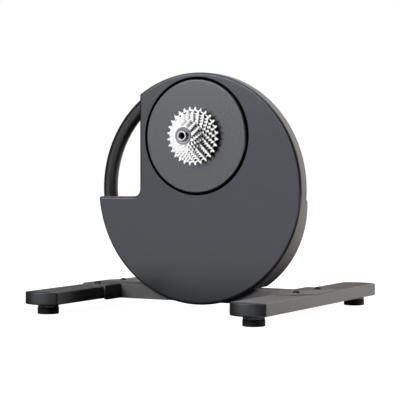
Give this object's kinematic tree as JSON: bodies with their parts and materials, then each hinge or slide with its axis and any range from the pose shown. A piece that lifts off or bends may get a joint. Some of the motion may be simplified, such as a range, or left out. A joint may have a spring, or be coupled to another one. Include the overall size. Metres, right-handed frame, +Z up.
{
  "type": "bicycle trainer",
  "caption": "Direct-drive bicycle trainer: round upright body with a cut-out and a carry handle, cassette on its drive side, flywheel housing behind, on an H-shaped base with levelling feet.",
  "frame": {"origin": "on the floor, midway between the four feet, which is the bottom centre of the bounding box", "axes": "+X forward along the bicycle, -Y towards the drive side with the cassette, +Z up"},
  "size_m": [0.535, 0.5436, 0.4825],
  "materials": {
    "body_paint": "satin",
    "hub_cover_paint": "satin",
    "handle_paint": "satin",
    "base_paint": "satin",
    "leg_cap_plastic": "matte",
    "black_plastic": "matte",
    "rubber": "matte",
    "steel": "machined",
    "bright_alloy": "polished",
    "cog_steel": "plated",
    "lockring_alloy": "satin",
    "alloy": "machined",
    "brake_copper": "satin",
    "board": "matte"
  },
  "bodies": {
    "chassis": {"drive_side_cover": "body_paint", "hub_cover": "hub_cover_paint", "main_frame": "body_paint", "flywheel_housing": "body_paint", "rear_cover": "body_paint", "handle_tube": "handle_paint", "base_spine": "base_paint", "front_leg": "base_paint", "rear_leg": "base_paint", "leg_cap_front_drive": "leg_cap_plastic", "leg_cap_front_far": "leg_cap_plastic", "leg_cap_rear_drive": "leg_cap_plastic", "leg_cap_rear_far": "leg_cap_plastic", "leg_bolt_front_drive": "steel", "leg_bolt_front_far": "steel", "leg_bolt_rear_drive": "steel", "leg_bolt_rear_far": "steel", "body_bolt_front": "steel", "body_bolt_rear": "steel", "hub_axle": "steel", "drive_end_cap": "bright_alloy", "far_end_cap": "bright_alloy", "hub_bearing_drive": "steel", "hub_bearing_far": "steel", "shaft_bearing_drive": "steel", "shaft_bearing_far": "steel", "brake_magnets": "brake_copper", "belt": "rubber", "idler_arm": "steel", "control_board": "board", "power_socket": "black_plastic"},
    "drive_pulley_body": {"drive_pulley": "alloy"},
    "cassette_body": {"freehub_body": "steel", "cog_28": "cog_steel", "cog_25": "cog_steel", "cog_23": "cog_steel", "cog_21": "cog_steel", "cog_19": "cog_steel", "cog_17": "cog_steel", "cog_15": "cog_steel", "cog_14": "cog_steel", "cog_13": "cog_steel", "cog_12": "cog_steel", "cog_11": "cog_steel", "lockring": "lockring_alloy"},
    "flywheel_body": {"flywheel": "steel", "flywheel_shaft": "steel", "flywheel_pulley": "alloy"},
    "idler_body": {"idler_pulley": "alloy"},
    "foot_front_drive": {"foot_screw_front_drive": "black_plastic", "foot_pad_front_drive": "rubber"},
    "foot_front_far": {"foot_screw_front_far": "black_plastic", "foot_pad_front_far": "rubber"},
    "foot_rear_drive": {"foot_screw_rear_drive": "black_plastic", "foot_pad_rear_drive": "rubber"},
    "foot_rear_far": {"foot_screw_rear_far": "black_plastic", "foot_pad_rear_far": "rubber"}
  },
  "joints": [
    {"name": "flywheel_spin", "type": "hinge", "parent": "chassis", "child": "flywheel_body", "pos_m": [0, 0.02, 0.1365], "axis": [0, 1, 0], "continuous": true},
    {"name": "pulley_spin", "type": "hinge", "parent": "chassis", "child": "drive_pulley_body", "pos_m": [0, -0.018, 0.3535], "axis": [0, 1, 0], "continuous": true},
    {"name": "idler_spin", "type": "hinge", "parent": "chassis", "child": "idler_body", "pos_m": [0.064, -0.018, 0.23], "axis": [0, 1, 0], "continuous": true},
    {"name": "freehub_coast", "type": "hinge", "parent": "drive_pulley_body", "child": "cassette_body", "pos_m": [0, -0.06, 0.3535], "axis": [0, 1, 0], "continuous": true},
    {"name": "foot_height_front_drive", "type": "slide", "parent": "chassis", "child": "foot_front_drive", "axis": [0, 0, -1], "range_m": [0, 0.01]},
    {"name": "foot_height_front_far", "type": "slide", "parent": "chassis", "child": "foot_front_far", "axis": [0, 0, -1], "range_m": [0, 0.01]},
    {"name": "foot_height_rear_drive", "type": "slide", "parent": "chassis", "child": "foot_rear_drive", "axis": [0, 0, -1], "range_m": [0, 0.01]},
    {"name": "foot_height_rear_far", "type": "slide", "parent": "chassis", "child": "foot_rear_far", "axis": [0, 0, -1], "range_m": [0, 0.01]}
  ],
  "couplings": [
    {"joint": "pulley_spin", "follows": "flywheel_spin", "ratio": 0.14286},
    {"joint": "idler_spin", "follows": "flywheel_spin", "ratio": -0.9589}
  ]
}
